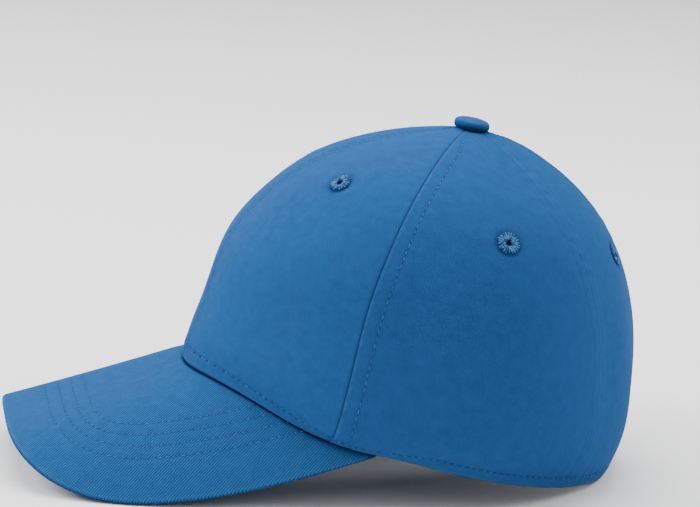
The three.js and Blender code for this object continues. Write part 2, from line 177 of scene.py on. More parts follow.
def curve_through(places, values):
    """A smooth curve through points, straight at both ends."""
    count = len(places)
    gaps = np.diff(places)
    slopes = np.diff(values) / gaps
    system = np.eye(count)
    turns = np.zeros(count)
    for i in range(1, count - 1):
        system[i, i - 1:i + 2] = gaps[i - 1], 2 * (gaps[i - 1] + gaps[i]), gaps[i]
        turns[i] = 6 * (slopes[i] - slopes[i - 1])
    bends = np.linalg.solve(system, turns)

    def at(place):
        i = np.clip(np.searchsorted(places, place, side="right") - 1, 0, count - 2)
        t = (place - places[i]) / gaps[i]
        u = 1 - t
        sag = ((u ** 3 - u) * bends[i] + (t ** 3 - t) * bends[i + 1]) * gaps[i] ** 2 / 6
        return u * values[i] + t * values[i + 1] + sag

    return at


front_share, side_share, back_share = (
    curve_through(CROWN_SECTIONS[:, 0], CROWN_SECTIONS[:, column]) for column in (1, 2, 3)
)


def smooth_step(t):
    held = np.clip(t, 0, 1)
    return held * held * (3 - 2 * held)


def bare_crown(azimuth, climb):
    """The crown without folds, at an azimuth from the front and a climb from the rim, in degrees."""
    azimuth, climb = np.broadcast_arrays(np.asarray(azimuth, float), np.asarray(climb, float))
    share = np.sin(np.radians(climb))
    out = np.cos(np.radians(climb))
    front = RIM_FRONT_REACH * front_share(climb) * out
    side = RIM_SIDE_REACH * side_share(climb) * out
    back = RIM_BACK_REACH * back_share(climb) * out
    set_back = WIDEST_SET_BACK * out * out
    ahead = np.cos(np.radians(azimuth))
    y = set_back - np.where(ahead > 0, front + set_back, back - set_back) * ahead
    x = side * np.sin(np.radians(azimuth))
    return np.stack([x, y, CROWN_HEIGHT * share + CROWN_LEAN * y * share ** 2], -1)


def rear_seam_at(climb):
    share = np.sin(np.radians(climb))
    return REAR_SEAM + REAR_SEAM_BOW * 4 * share * (1 - share) + REAR_SEAM_DRIFT * share


def unit(vectors):
    return vectors / np.linalg.norm(vectors, axis=-1, keepdims=True)


def crown_normal(azimuth, climb):
    step = 0.2
    up = bare_crown(azimuth, np.minimum(climb + step, 90))
    up = up - bare_crown(azimuth, np.maximum(climb - step, 0))
    held = np.minimum(climb, 89.5)
    around = bare_crown(azimuth + step, held) - bare_crown(azimuth - step, held)
    return unit(np.cross(around, up))


def crown_relief(azimuth, climb):
    """How far each panel is puffed out and dented."""
    rear = rear_seam_at(climb)
    across = np.where(
        azimuth > FRONT_SEAM, (azimuth - FRONT_SEAM) / (rear - FRONT_SEAM), azimuth / FRONT_SEAM
    )
    across = np.where(azimuth > rear, (azimuth - rear) / (180 - rear), across)
    relief = PANEL_PUFF * np.sin(np.pi * across) * np.sin(2 * np.radians(climb))
    for place, height, around, up, depth in CROWN_DENTS:
        spread = ((azimuth - place) / around) ** 2 + ((climb - height) / up) ** 2
        relief = relief - depth * CAD_WALL * np.exp(-spread)
    return relief


peak_end = bare_crown(PEAK_END, 0)
peak_end_distance = peak_end[1] + RIM_FRONT_REACH
peak_arch_drop = (
    PEAK_ROOT_RISE + PEAK_REAR_SLOPE * peak_end_distance
    + peak_end_distance ** 2 / (2 * PEAK_CURL_RADIUS) - PEAK_END_RISE
)


def peak_height(x, y):
    behind = y + RIM_FRONT_REACH
    slope = np.where(behind > 0, PEAK_REAR_SLOPE, PEAK_SLOPE)
    arch = peak_arch_drop * (np.abs(x) / peak_end[0]) ** PEAK_ARCH_POWER
    return PEAK_ROOT_RISE + slope * behind + behind ** 2 / (2 * PEAK_CURL_RADIUS) - arch


def crown_point(azimuth, climb, out=0.0):
    """A place on the crown's cloth, with its lowest part laid on the root of the peak."""
    azimuth, climb = np.broadcast_arrays(np.asarray(azimuth, float), np.asarray(climb, float))
    bare = bare_crown(azimuth, climb)
    shift = crown_relief(azimuth, climb) + out
    normal = crown_normal(azimuth, climb)
    normal[..., 2] *= np.clip(climb / 1.5, 0, 1)
    point = bare + normal * shift[..., None]
    from_peak_end = PEAK_END - azimuth
    lift = smooth_step(from_peak_end / PEAK_BLEND_AZIMUTH + PEAK_BLEND_LEAD)
    lift = lift * peak_height(bare[..., 0], bare[..., 1])
    fade = 1 - smooth_step(np.sin(np.radians(climb)) / RIM_FADE_SHARE)
    drop = PEAK_DEPTH * smooth_step(from_peak_end / ROOT_DROP_AZIMUTH)
    drop = drop * np.maximum(1 - climb / ROOT_DROP_CLIMB, 0)
    point[..., 2] += fade * lift - drop
    return point


def rest_direction(vectors):
    x, y, z = vectors[..., 0], vectors[..., 1], vectors[..., 2]
    cos, sin = math.cos(REST_TILT), math.sin(REST_TILT)
    return np.stack([x, y * cos + z * sin, z * cos - y * sin], -1)


def rest_point(points):
    rested = rest_direction(points) + np.array([0, REST_SHIFT, REST_LIFT])
    rested[..., 2] = np.maximum(rested[..., 2], 0)
    return rested


back_climbs = np.arange(0, 91)
back_lengths = np.linalg.norm(np.diff(bare_crown(180, back_climbs), axis=0), axis=1)
back_lengths = np.concatenate([[0], np.cumsum(back_lengths)])


def slit_edge(climb):
    """The azimuth of the slit's edge at a climb, or the middle of the back above and below the slit."""
    opening = back_lengths[-1] - SLIT_HEAD - SLIT_FOOT
    along = (np.interp(climb, back_climbs, back_lengths) - SLIT_FOOT) / opening
    inside = np.sin(np.pi * np.clip(along, 0, 1)) ** SLIT_EDGE_POWER
    half = SLIT_WIDTH / 2 * np.where((along > 0) & (along < 1), inside, 0)
    side = RIM_SIDE_REACH * side_share(climb) * np.cos(np.radians(climb))
    return 180 - np.degrees(np.arcsin(np.clip(half / np.maximum(side, 1e-6), 0, 1)))


def top_climb(azimuth):
    """The climb at which the cloth ends round the button's stem."""
    climbs = np.linspace(70, 90, 401)
    away = bare_crown(np.asarray(azimuth)[..., None], climbs)
    radius = np.hypot(away[..., 0], away[..., 1])
    return climbs[np.argmax(radius < STEM_HOLE_RADIUS, axis=-1)]


CLOTH_THICKNESS = 0.0011
HEM_THICKNESS = 0.0017
SEAM_STITCHES = 0.0059
TWIN_STITCHES = 0.0028
HEM_STITCHES = 0.0054
RIM_STITCHES = 0.0054
RIM_STITCHES_RISE = 0.0009
RIM_STITCHES_BUMP = 0.005
EDGE_MARKS = np.array([
    0, 0.12, 0.3, 0.6, 1.0, 1.6, 2.2, 2.8, 3.4, 4.1, 4.8, 5.4, 5.9, 6.4, 7.0, 7.8, 8.8, 10, 11.4, 13,
]) * 1e-3
RIM_MARKS = np.array([
    0, 0.12, 0.3, 0.6, 1.0, 1.5, 2.0, 2.5, 3.0, 3.4, 3.8, 4.2, 4.6, 5.0, 5.4, 5.8, 6.2, 6.6, 7.0, 7.4, 7.8,
    8.2, 8.6, 9.0, 9.4, 9.8, 10.2, 10.6, 11.0, 11.4, 11.8, 12.2, 12.7, 13.4,
]) * 1e-3
ROW_PITCH = 0.0012
PANEL_INNER_COLUMNS = 48


def bell(distance, width):
    return np.exp(-(distance / width) ** 2)


def edge_turn(distance, radius):
    """How far a rounded edge draws in, at a distance from the edge."""
    inside = np.clip(radius - distance, 0, radius) / radius
    return radius * (1 - np.sqrt(np.maximum(1 - inside ** 2, 0)))


def wandering(along, pitch, phase):
    """A wave of uneven pitch, for puckers and crimps."""
    wander = 0.9 * np.sin(along / pitch * 1.31 + phase) + 0.6 * np.sin(along / pitch * 0.47 + 2 * phase)
    return np.sin(2 * np.pi * along / pitch + wander + phase)


def soft_waves(across, along, phase):
    """The slack of the cloth between its seams, as a share of its height."""
    waves = 0.5 * np.sin(across / 0.017 + 1.3 * np.sin(along / 0.021 + phase) + phase)
    waves += 0.35 * np.sin(along / 0.013 + 1.1 * np.sin(across / 0.015 - phase) + 2.1 * phase)
    waves += 0.2 * np.sin(across / 0.0075 + along / 0.0095 + 3 * phase)
    return waves


def seam_relief(style, distance, along, phase):
    """The cloth beside a seam: a groove, the lap of the felled edge, and puckers. Numbers are in mm."""
    mm = distance * 1e3
    pucker = wandering(along, 0.0083, phase)
    if style == "under":
        lifted = -0.35 * bell(mm, 0.6)
        crimp = 0.06 * pucker * bell(mm - 2.5, 2.5)
    elif style == "over":
        lifted = 0.15 * (1 - smooth_step((mm - 4.9) / 2.2)) - 0.14 * bell(mm - 5.9, 0.6)
        lifted = lifted + 0.1 * bell(mm - 0.7, 0.35) - edge_turn(mm, 0.3)
        crimp = 0.1 * pucker * bell(mm - 6.4, 3.2)
    elif style == "faint":
        lifted = 0.1 * (1 - smooth_step((mm - 4.6) / 2.4)) - 0.14 * bell(mm, 0.5)
        lifted = lifted - 0.1 * bell(mm - 5.9, 0.7)
        crimp = 0.17 * pucker * bell(mm - 2.6, 2.4)
    else:
        lifted = 0.16 * (1 - smooth_step((mm - 4.6) / 2.4)) - 0.45 * bell(mm, 0.5)
        lifted = lifted - 0.14 * bell(mm - 2.8, 0.55)
        crimp = 0.08 * pucker * bell(mm - 4.2, 2.6)
    return (lifted + crimp) * 1e-3


SEAM_PAINTED_SHADE = {"under": 0.75, "over": 0.25, "faint": 0.12, "open": 0.5, "hem": 0.2}
SEAM_ROWS = {
    "under": (), "over": (SEAM_STITCHES,), "faint": (), "open": (TWIN_STITCHES,), "hem": (HEM_STITCHES,),
}


# Painted shade along a seam's line and beside its rows of stitches, where the cloth dips.
def seam_shade(style, distance):
    shade = SEAM_PAINTED_SHADE[style] * bell(distance * 1e3, 0.3)
    for row in SEAM_ROWS[style]:
        shade = shade + SEAM_PAINTED_SHADE[style] * 0.4 * bell((distance - row) * 1e3, 0.5)
    return shade


def hem_relief(distance, along, open_share, phase):
    """The doubled hem of the slit, and the soft fold that runs beside its lower half, in mm."""
    mm = distance * 1e3
    doubled = 0.3 * (1 - smooth_step((mm - 4.8) / 1.6)) - 0.3 * bell(mm - 5.4, 0.65)
    low_fold = np.sin(np.pi * np.clip(open_share / 0.62, 0, 1)) ** 0.8
    fold = -1.15 * bell(mm - 8.9, 1.9) + 0.75 * bell(mm - 13.4, 3.2)
    crimp = 0.14 * wandering(along, 0.0091, phase) * bell(mm - 6.2, 3.0)
    return (doubled + fold * low_fold + crimp) * 1e-3


PANELS = {
    "front": {
        "from": lambda c: 0 * c, "to": lambda c: FRONT_SEAM + 0 * c,
        "styles": ("open", "under"), "eyelet": 0.78, "phase": 0.4, "panel_painted_shade": 0.0,
    },
    "side": {
        "from": lambda c: FRONT_SEAM + 0 * c, "to": rear_seam_at,
        "styles": ("over", "faint"), "eyelet": 0.74, "phase": 1.9, "panel_painted_shade": 0.1,
    },
    "back": {
        "from": rear_seam_at, "to": slit_edge,
        "styles": ("faint", "hem"), "eyelet": 0.72, "phase": 3.1, "panel_painted_shade": 0.06,
    },
}


def set_attribute(mesh, label, values):
    """Stores a number or a vector for each point of a mesh."""
    values = np.asarray(values, np.float32)
    kind, field = ("FLOAT", "value") if values.ndim == 1 else ("FLOAT_VECTOR", "vector")
    mesh.attributes.new(label, kind, "POINT").data.foreach_set(field, values.ravel())


def cloth_shell(name, outer, inner, cloth, wear_and_highlight, shade, missing=None, closed_round=False):
    """A closed cloth from the grids of its two faces, with its weave's place, its wear and painted highlight,
    and its painted shade.
    """
    rows, columns = outer.shape[:2]
    index = np.arange(rows * columns).reshape(rows, columns)
    far = np.roll(index, -1, 1) if closed_round else index[:, 1:]
    near = index if closed_round else index[:, :-1]
    a, b, c, d = near[:-1], far[:-1], far[1:], near[1:]
    kept = np.ones(a.shape, bool) if missing is None else ~missing
    ring = np.pad(kept, 1)
    if closed_round:
        ring[1:-1, 0], ring[1:-1, -1] = kept[:, -1], kept[:, 0]
    below, above = kept & ~ring[:-2, 1:-1], kept & ~ring[2:, 1:-1]
    left, right = kept & ~ring[1:-1, :-2], kept & ~ring[1:-1, 2:]
    under = rows * columns
    faces = [np.stack([a, b, c, d], -1)[kept], np.stack([b, a, d, c], -1)[kept] + under]
    for start, stop, chosen in ((b, a, below), (c, b, right), (d, c, above), (a, d, left)):
        faces.append(np.stack([start, stop, stop + under, start + under], -1)[chosen])
    faces = np.concatenate(faces)
    points = np.concatenate([outer.reshape(-1, 3), inner.reshape(-1, 3)])
    p, q, r, s = (points[faces[:, k]] for k in range(4))
    volume = np.einsum("ij,ij->", p, np.cross(q, r)) + np.einsum("ij,ij->", p, np.cross(r, s))
    if volume < 0:
        faces = faces[:, ::-1]
    used = np.zeros(len(points), bool)
    used[faces.ravel()] = True
    renumbered = np.cumsum(used) - 1
    mesh = bpy.data.meshes.new(name)
    mesh.from_pydata(points[used].tolist(), [], renumbered[faces].tolist())
    mesh.polygons.foreach_set("use_smooth", [True] * len(mesh.polygons))
    laid = np.concatenate([cloth.reshape(-1, 2)] * 2)[used]
    set_attribute(mesh, "cloth", np.column_stack([laid, np.zeros(len(laid))]))
    for label, both in (("wear_and_highlight", (wear_and_highlight, wear_and_highlight)), ("shade", shade)):
        spread = np.concatenate([np.broadcast_to(face, outer.shape[:2]).ravel() for face in both])[used]
        set_attribute(mesh, label, np.clip(spread, 0, 1))
    return placed(name, mesh)


def cloth_colour(red, green, blue):
    """A colour as the renderer takes it, from its values out of 255."""
    def linear(value):
        share = value / 255
        return share / 12.92 if share <= 0.04045 else ((share + 0.055) / 1.055) ** 2.4

    return (linear(red), linear(green), linear(blue), 1)


def tree_node(tree, kind, inputs=None, **settings):
    """Adds a node with its settings; each input is a value or another node's output."""
    node = tree.nodes.new(kind)
    for label, value in settings.items():
        setattr(node, label, value)
    for label, value in (inputs or {}).items():
        if isinstance(value, bpy.types.NodeSocket):
            tree.links.new(value, node.inputs[label])
        else:
            node.inputs[label].default_value = value
    return node


def mixed(tree, first, second, share):
    inputs = {"A": first, "B": second, "Factor": share}
    return tree_node(tree, "ShaderNodeMix", inputs, data_type="RGBA").outputs["Result"]


def coat(tree, colour, height, strength, depth):
    """Gives a material its colour and its relief."""
    shader = tree.nodes["Principled BSDF"]
    bump = tree_node(tree, "ShaderNodeBump", {"Strength": strength, "Distance": depth, "Height": height})
    tree.links.new(colour, shader.inputs["Base Color"])
    tree.links.new(bump.outputs["Normal"], shader.inputs["Normal"])


# The dark blue that the shade attribute mixes in: painted shade in creases, seam grooves, stitch rows, round
# eyelets and under the crown's rim.
PAINTED_SHADE_COLOUR = cloth_colour(2, 16, 62)
TWILL_FINISH = {
    "Roughness": 0.95, "Specular IOR Level": 0.06, "Sheen Weight": 0.1, "Sheen Roughness": 0.5,
    "Sheen Tint": cloth_colour(70, 140, 205),
}
WALE_LEAN = math.radians(32)
WALE_JITTER = 0.55
WALE_STEP = 0.37
FLOAT_LENGTH = 0.8
FUZZ_HEIGHT = 0.35
WEAVE_DEPTH = 0.00022


def twill(name, colour, valley, worn_and_lit_colour, wale_pitch, contrast, relief, mottle=0.3):
    """Diagonal wales of short floats, fuzzed, paler at worn edges and painted highlights, darker with painted
    shade, and mottled.
    """
    material = new_material(name, TWILL_FINISH)
    tree = material.node_tree

    def worked(operation, *values):
        return tree_node(tree, "ShaderNodeMath", dict(enumerate(values)), operation=operation).outputs[0]

    def attribute(label, output):
        return tree_node(tree, "ShaderNodeAttribute", attribute_name=label).outputs[output]

    def noise(scale, detail, roughness=0.5):
        inputs = {"Vector": laid, "Scale": scale, "Detail": detail, "Roughness": roughness}
        return tree_node(tree, "ShaderNodeTexNoise", inputs).outputs["Fac"]

    def wave(turns):
        return worked("MULTIPLY_ADD", worked("SINE", worked("MULTIPLY", turns, 2 * math.pi)), 0.5, 0.5)

    laid = attribute("cloth", "Vector")
    across, along, _ = tree_node(tree, "ShaderNodeSeparateXYZ", {0: laid}).outputs
    cross, run = math.cos(WALE_LEAN), math.sin(WALE_LEAN)
    jitter = worked("MULTIPLY", worked("SUBTRACT", noise(260, 3), 0.5), WALE_JITTER)
    diagonal = worked("ADD", worked("MULTIPLY", across, cross), worked("MULTIPLY", along, run))
    wale = worked("ADD", worked("DIVIDE", diagonal, wale_pitch), jitter)
    length = worked("ADD", worked("MULTIPLY", across, -run), worked("MULTIPLY", along, cross))
    step = worked("MULTIPLY", worked("FLOOR", wale), WALE_STEP)
    floats = worked("ADD", worked("DIVIDE", length, wale_pitch * FLOAT_LENGTH), step)
    weave = worked("MULTIPLY", wave(wale), worked("MULTIPLY_ADD", wave(floats), 0.4, 0.6))
    height = worked("MULTIPLY_ADD", noise(2600, 2), FUZZ_HEIGHT, weave)

    thread = mixed(tree, valley, colour, worked("MULTIPLY_ADD", height, contrast, 1 - contrast))
    # Paler where the cloth is rubbed at its edges, and where a highlight is painted along the seams.
    rub_and_highlight = worked("MULTIPLY", attribute("wear_and_highlight", "Fac"), worked("MULTIPLY_ADD", height, 0.5, 0.15))
    # Painted shade: the shade attribute darkens the cloth towards the painted shade colour.
    with_painted_shade = mixed(tree, mixed(tree, thread, worn_and_lit_colour, rub_and_highlight), PAINTED_SHADE_COLOUR, attribute("shade", "Fac"))
    patches = worked("MULTIPLY_ADD", noise(190, 4, 0.8), mottle, 1 - mottle / 2)
    mottled = tree_node(tree, "ShaderNodeHueSaturation", {"Color": with_painted_shade, "Value": patches})
    coat(tree, mottled.outputs["Color"], height, relief, WEAVE_DEPTH)
    return material


panel_twill = twill(
    "panel_twill", cloth_colour(32, 74, 124), cloth_colour(24, 60, 110), cloth_colour(58, 106, 158),
    wale_pitch=0.0009, contrast=0.35, relief=0.22, mottle=0.62,
)

side_lengths = np.linalg.norm(np.diff(bare_crown(90, np.linspace(0, 90, 721)), axis=0), axis=1)
side_lengths = np.concatenate([[0], np.cumsum(side_lengths)])
SLIT_END_MARKS = np.array([-1.6, -0.7, -0.2, 0.15, 0.5, 1.0, 1.7, 2.6, 3.6]) * 1e-3


def panel_climbs(has_slit):
    """The climbs of a panel's rows, closer together at the rim and at the slit's two ends."""
    marks = np.arange(RIM_MARKS[-1] + ROW_PITCH, side_lengths[-1] - 0.0004, ROW_PITCH)
    marks = np.concatenate([RIM_MARKS, marks, [side_lengths[-1]]])
    climbs = np.interp(marks, side_lengths, np.linspace(0, 90, 721))
    if has_slit:
        ends = np.concatenate([SLIT_FOOT + SLIT_END_MARKS, back_lengths[-1] - SLIT_HEAD - SLIT_END_MARKS])
        end_climbs = np.interp(ends, back_lengths, back_climbs)
        close = np.min(np.abs(climbs[:, None] - end_climbs[None]), axis=1)
        climbs = np.sort(np.concatenate([climbs[close > 0.28], end_climbs]))
    return climbs


def crossing(grid, level):
    """For every column, the row at which a rising grid passes a level, as a whole row and a part."""
    row = np.clip(np.argmax(grid > level, axis=0) - 1, 0, len(grid) - 2)
    columns = np.arange(grid.shape[1])
    below, above = grid[row, columns], grid[row + 1, columns]
    return row, np.clip((level - below) / np.maximum(above - below, 1e-9), 0, 1)


def along_crossing(values, row, part):
    """The values of each column there, as crossing found it."""
    columns = np.arange(values.shape[1])
    return values[row, columns] * (1 - part)[:, None] + values[row + 1, columns] * part[:, None]


PANEL_WAVES = 0.00032
RIM_TURN_RADIUS = 0.00075
EYELET_HOLE_RADIUS = 0.0027
SEAT_DISH = 0.00025
WIDTH_SAMPLES = 13
MARKS_SHARE = 2.4
BUTTON_COVER_RADIUS = 0.0068
CLOTH_STEP = (0.31, 0.17)

back_opening = back_lengths[-1] - SLIT_HEAD - SLIT_FOOT


def panel_grid(panel, has_slit):
    """A panel's grid: rows from the rim to the button, and columns across it, closer at its seams."""
    climbs = panel_climbs(has_slit)
    start, stop = panel["from"](climbs)[:, None], panel["to"](climbs)[:, None]
    samples = start + (stop - start) * np.linspace(0, 1, WIDTH_SAMPLES)
    spans = bare_crown(samples, np.minimum(climbs, 89)[:, None])
    widths = np.linalg.norm(np.diff(spans, axis=1), axis=2).sum(1)[:, None]
    ease = np.minimum(1, widths / (MARKS_SHARE * EDGE_MARKS[-1]))
    edge = EDGE_MARKS * ease
    middle = np.linspace(0, 1, PANEL_INNER_COLUMNS + 2)[1:-1]
    inner_places = edge[:, -1:] + (widths - 2 * edge[:, -1:]) * middle
    places = np.concatenate([edge, inner_places, widths - edge[:, ::-1]], axis=1)
    across = places / widths
    azimuths = start + (stop - start) * across
    climb_grid = climbs[:, None] - (90 - top_climb(azimuths[-1])) * (climbs[:, None] / 90) ** 8
    bare = bare_crown(azimuths, climb_grid)
    along = np.cumsum(np.linalg.norm(np.diff(bare, axis=0, prepend=bare[:1]), axis=2), axis=0)
    return SimpleNamespace(
        azimuths=azimuths, climbs=climb_grid, bare=bare, places=places, widths=widths, across=across,
        along=along, from_start=places / ease, from_stop=(widths - places) / ease,
    )


def sewn_edges(panel, grid, phase):
    """The cloth at a panel's seams: its relief, painted shade, wear and painted highlight, thickness, and the
    turn of its edge.
    """
    start_style, stop_style = panel["styles"]
    along, from_start, from_stop = grid.along, grid.from_start, grid.from_stop
    relief = seam_relief(start_style, from_start, along, phase)
    # Painted shade: the side and back panels are darkened all over, for how the light falls on them.
    shade = panel["panel_painted_shade"] + seam_shade(start_style, from_start) + seam_shade(stop_style, from_stop)
    # Painted highlight: a paler line just inside the seam, broken by a wave along the lapped edge of the over
    # seam.
    glint = 0.55 + 0.3 * wandering(along, 0.0043, phase)
    wear_and_highlight = (glint if start_style == "over" else 0.35) * bell(from_start * 1e3 - 0.75, 0.45)
    thickness = CLOTH_THICKNESS + 0 * along
    turned = 0 * along
    if stop_style == "hem":
        opening = (along - SLIT_FOOT) / back_opening
        gate = smooth_step(opening / 0.03) * smooth_step((1 - opening) / 0.03)
        relief = relief + hem_relief(from_stop, along, opening, phase) * gate
        relief = relief + seam_relief("open", from_stop, along, phase) * (1 - gate)
        turned = gate * edge_turn(from_stop, HEM_THICKNESS * 0.49)
        doubled = 1 - smooth_step((from_stop * 1e3 - 4.9) / 1.2)
        thickness = thickness + (HEM_THICKNESS - CLOTH_THICKNESS) * gate * doubled
        low_fold = np.sin(np.pi * np.clip(opening / 0.7, 0, 1)) ** 0.8
        # Painted shade along the seam that closes the back below and above the slit, and along the soft fold
        # beside the slit's lower half.
        shade = shade + 0.4 * (1 - gate) * bell(from_stop * 1e3, 0.35)
        shade = shade + 0.2 * gate * low_fold * bell(from_stop * 1e3 - 8.6, 1.5)
        wear_and_highlight = wear_and_highlight + 0.5 * gate * bell(from_stop * 1e3, 0.8)
    else:
        relief = relief + seam_relief(stop_style, from_stop, along, phase + 0.7)
    calm = np.sin(np.pi * grid.across) ** 0.7 * smooth_step(along / 0.012)
    relief = relief + PANEL_WAVES * calm * soft_waves(grid.places - grid.widths / 2, along, phase)
    return relief, shade, wear_and_highlight, thickness, turned


def rim_hem(grid, bare_cloth, phase):
    """The turned-up hem of the rim, which in front tucks in behind the root of the peak."""
    over_peak = bare_cloth[..., 2] - peak_height(bare_cloth[..., 0], bare_cloth[..., 1])
    row, part = crossing(over_peak, 0)
    hidden = along_crossing(grid.along[..., None], row, part)[:, 0] * (over_peak[0] < 0)
    by_peak = smooth_step((PEAK_END + 3.5 - grid.azimuths) / 4)
    risen = (grid.along - hidden * by_peak) * 1e3
    rim_row = RIM_STITCHES + RIM_STITCHES_RISE * smooth_step((grid.azimuths - 50) / 20)
    rim_row = (rim_row + RIM_STITCHES_BUMP * bell(grid.azimuths - 65, 12)) * 1e3
    above_row = risen - rim_row
    fold = 0.28 * (1 - smooth_step((above_row + 0.6) / 1.5)) - 0.28 * bell(above_row, 0.6)
    fold = fold + 0.17 * wandering(grid.places + 0.003 * phase, 0.0067, phase) * bell(above_row - 0.2, 2.8)
    crease = 0.7 + 0.9 * smooth_step((grid.azimuths - 46) / 14)
    tucked = by_peak * (1 - smooth_step((risen - 0.3) / (crease + 0.2)))
    relief = (fold * (1 - tucked) - 1.0 * tucked) * 1e-3 * smooth_step(grid.from_start / 0.001)
    # Painted shadow in the gap where the rim tucks behind the peak's root, and painted shade along the rim's
    # stitch row and, away from the peak, along its lower edge.
    shade = 0.95 * by_peak * (1 - smooth_step((risen - 0.25) / crease))
    shade = shade + 0.24 * bell(above_row, 0.55) + 0.45 * (1 - by_peak) * bell(risen, 0.5)
    wear_and_highlight = 0.35 * bell(risen - 1.3, 0.7)
    thickness = 0.0005 * (1 - smooth_step((above_row + 0.6) / 1.2)) * (1 - by_peak)
    return relief, shade, wear_and_highlight, thickness, above_row


def eyelet_seat(panel):
    """The middle of a panel at its eyelet's height, and the way out from the cloth there."""
    climb = np.array(math.degrees(math.asin(panel["eyelet"])))
    far_edge = 180 if panel["styles"][1] == "hem" else float(panel["to"](climb))
    azimuth = np.array((float(panel["from"](climb)) + far_edge) / 2)
    return crown_point(azimuth, climb), crown_normal(azimuth, climb)


seam_rows = []
rim_rows = []
eyelet_seats = {}
for panel_name, panel in PANELS.items():
    for side_name, side in (("left", 1), ("right", -1)):
        phase = panel["phase"] + (0.8 if side < 0 else 0)
        grid = panel_grid(panel, panel_name == "back")
        outwards = crown_normal(grid.azimuths, grid.climbs)
        bare_cloth = crown_point(grid.azimuths, grid.climbs)
        relief, shade, wear_and_highlight, thickness, turned = sewn_edges(panel, grid, phase)
        rim_relief, rim_shade, rim_wear, rim_thickness, above_row = rim_hem(grid, bare_cloth, phase)
        seat, seat_out = eyelet_seat(panel)
        from_seat = np.linalg.norm(bare_cloth - seat, axis=2) * 1e3
        relief = (relief + rim_relief) * smooth_step((from_seat - 3) / 4)
        relief = relief - SEAT_DISH * bell(from_seat - 5.2, 1.2)
        # Painted shadow: a soft dark ring round each eyelet's seat.
        shade = shade + rim_shade + 0.45 * bell(from_seat - 4.9, 0.95)
        thickness = thickness + rim_thickness
        turned = turned + edge_turn(grid.along, RIM_TURN_RADIUS)
        outer = crown_point(grid.azimuths, grid.climbs, relief - turned)
        inner = crown_point(grid.azimuths, grid.climbs, relief * 0.4 - thickness + turned)
        centres = (bare_cloth[:-1, :-1] + bare_cloth[1:, 1:] + bare_cloth[:-1, 1:] + bare_cloth[1:, :-1]) / 4
        missing = np.linalg.norm(centres - seat, axis=2) < EYELET_HOLE_RADIUS

        # The left panel as it is or mirrored, tipped onto the floor with the rest of the cap.
        mirror = np.array([side, 1, 1])
        outer, inner = rest_point(outer * mirror), rest_point(inner * mirror)
        outwards = rest_direction(outwards * mirror)
        cloth = np.stack([side * (grid.places - grid.widths / 2), grid.along], -1)
        cloth = cloth + np.array(CLOTH_STEP) * phase
        wear_and_highlight = wear_and_highlight + rim_wear
        piece = cloth_shell(
            f"crown_{panel_name}_{side_name}", outer, inner, cloth, wear_and_highlight, (shade, 0.5 * shade), missing
        )
        piece.data.materials.append(panel_twill)
        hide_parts(f"panel_{panel_name}_{side_name}")
        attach(piece, "root")

        # What the stitching and the eyelets need to know of this panel.
        seat_name = f"{panel_name}_{side_name}"
        eyelet_seats[seat_name] = (rest_point(seat * mirror), rest_direction(seat_out * mirror))
        clear_of_button = np.hypot(grid.bare[..., 0], grid.bare[..., 1]) > BUTTON_COVER_RADIUS
        for style, distance in zip(panel["styles"], (grid.from_start, grid.from_stop)):
            for row in SEAM_ROWS[style]:
                column = int(np.argmin(np.abs(distance[0] - row)))
                shown = clear_of_button[:, column] & (above_row[:, column] > 0)
                seam_rows.append((outer[shown, column], outwards[shown, column]))
        row, part = crossing(above_row, 0)
        rim_rows.append((along_crossing(outer, row, part), along_crossing(outwards, row, part)))

# Topstitching of the crown: lockstitches of blue polyester thread in rows beside the seams, round
# the rim and along the hems of the slit, each pulled into its groove between two needle holes;
# the holes are small dark beads of painted shadow.
STITCH_PITCH = 0.0031
STITCH_SIZE = (0.0024, 0.00052, 0.00036)
STITCH_LEAST = (0.9, 0.88, 0.85)
STITCH_MOST = (1.06, 1.12, 1.15)
STITCH_PROUD = 0.00004
RIM_HOLE_SIZE = (0.0008, 0.0005, 0.00022)
SEAM_HOLE_SIZE = (0.0005, 0.00034, 0.00014)
THREAD_DEPTH = 0.0001


def thread_colour(name, dark, light, roughness=0.7, grain=1400):
    """Twisted thread, in darker and lighter flecks."""
    material = new_material(name, {"Roughness": roughness, "Specular IOR Level": 0.15})
    tree = material.node_tree
    place = tree_node(tree, "ShaderNodeTexCoord").outputs["Object"]
    twist = tree_node(tree, "ShaderNodeTexNoise", {"Vector": place, "Scale": grain}).outputs["Fac"]
    share = tree_node(tree, "ShaderNodeMapRange", {"Value": twist, "From Min": 0.36, "From Max": 0.64})
    coat(tree, mixed(tree, dark, light, share.outputs["Result"]), twist, 0.4, THREAD_DEPTH)
    return material


sewing_thread = thread_colour("sewing_thread", cloth_colour(20, 58, 106), cloth_colour(50, 98, 150))
# Painted shadow: the needle holes are dark beads set between the stitches.
needle_hole_shadow = thread_colour("needle_hole_shadow", cloth_colour(8, 32, 76), cloth_colour(12, 44, 92), 0.9)


def new_tree(name, kinds, result):
    """A tree with named inputs and one result: the tree, its inputs' identifiers, and their sockets."""
    tree = bpy.data.node_groups.new(name, "GeometryNodeTree")
    identifiers = {}
    for label, kind in kinds.items():
        socket = tree.interface.new_socket(label, in_out="INPUT", socket_type="NodeSocket" + kind)
        identifiers[label] = socket.identifier
    tree.interface.new_socket(result, in_out="OUTPUT", socket_type="NodeSocketGeometry")
    return tree, identifiers, tree.nodes.new("NodeGroupInput").outputs


def facing(tree, outward, ahead):
    """The turn that points a piece outwards and lays its length ahead."""
    inputs = {"Primary Axis": outward, "Secondary Axis": ahead}
    axes = {"primary_axis": "Z", "secondary_axis": "X"}
    return tree_node(tree, "FunctionNodeAxesToRotation", inputs, **axes).outputs["Rotation"]


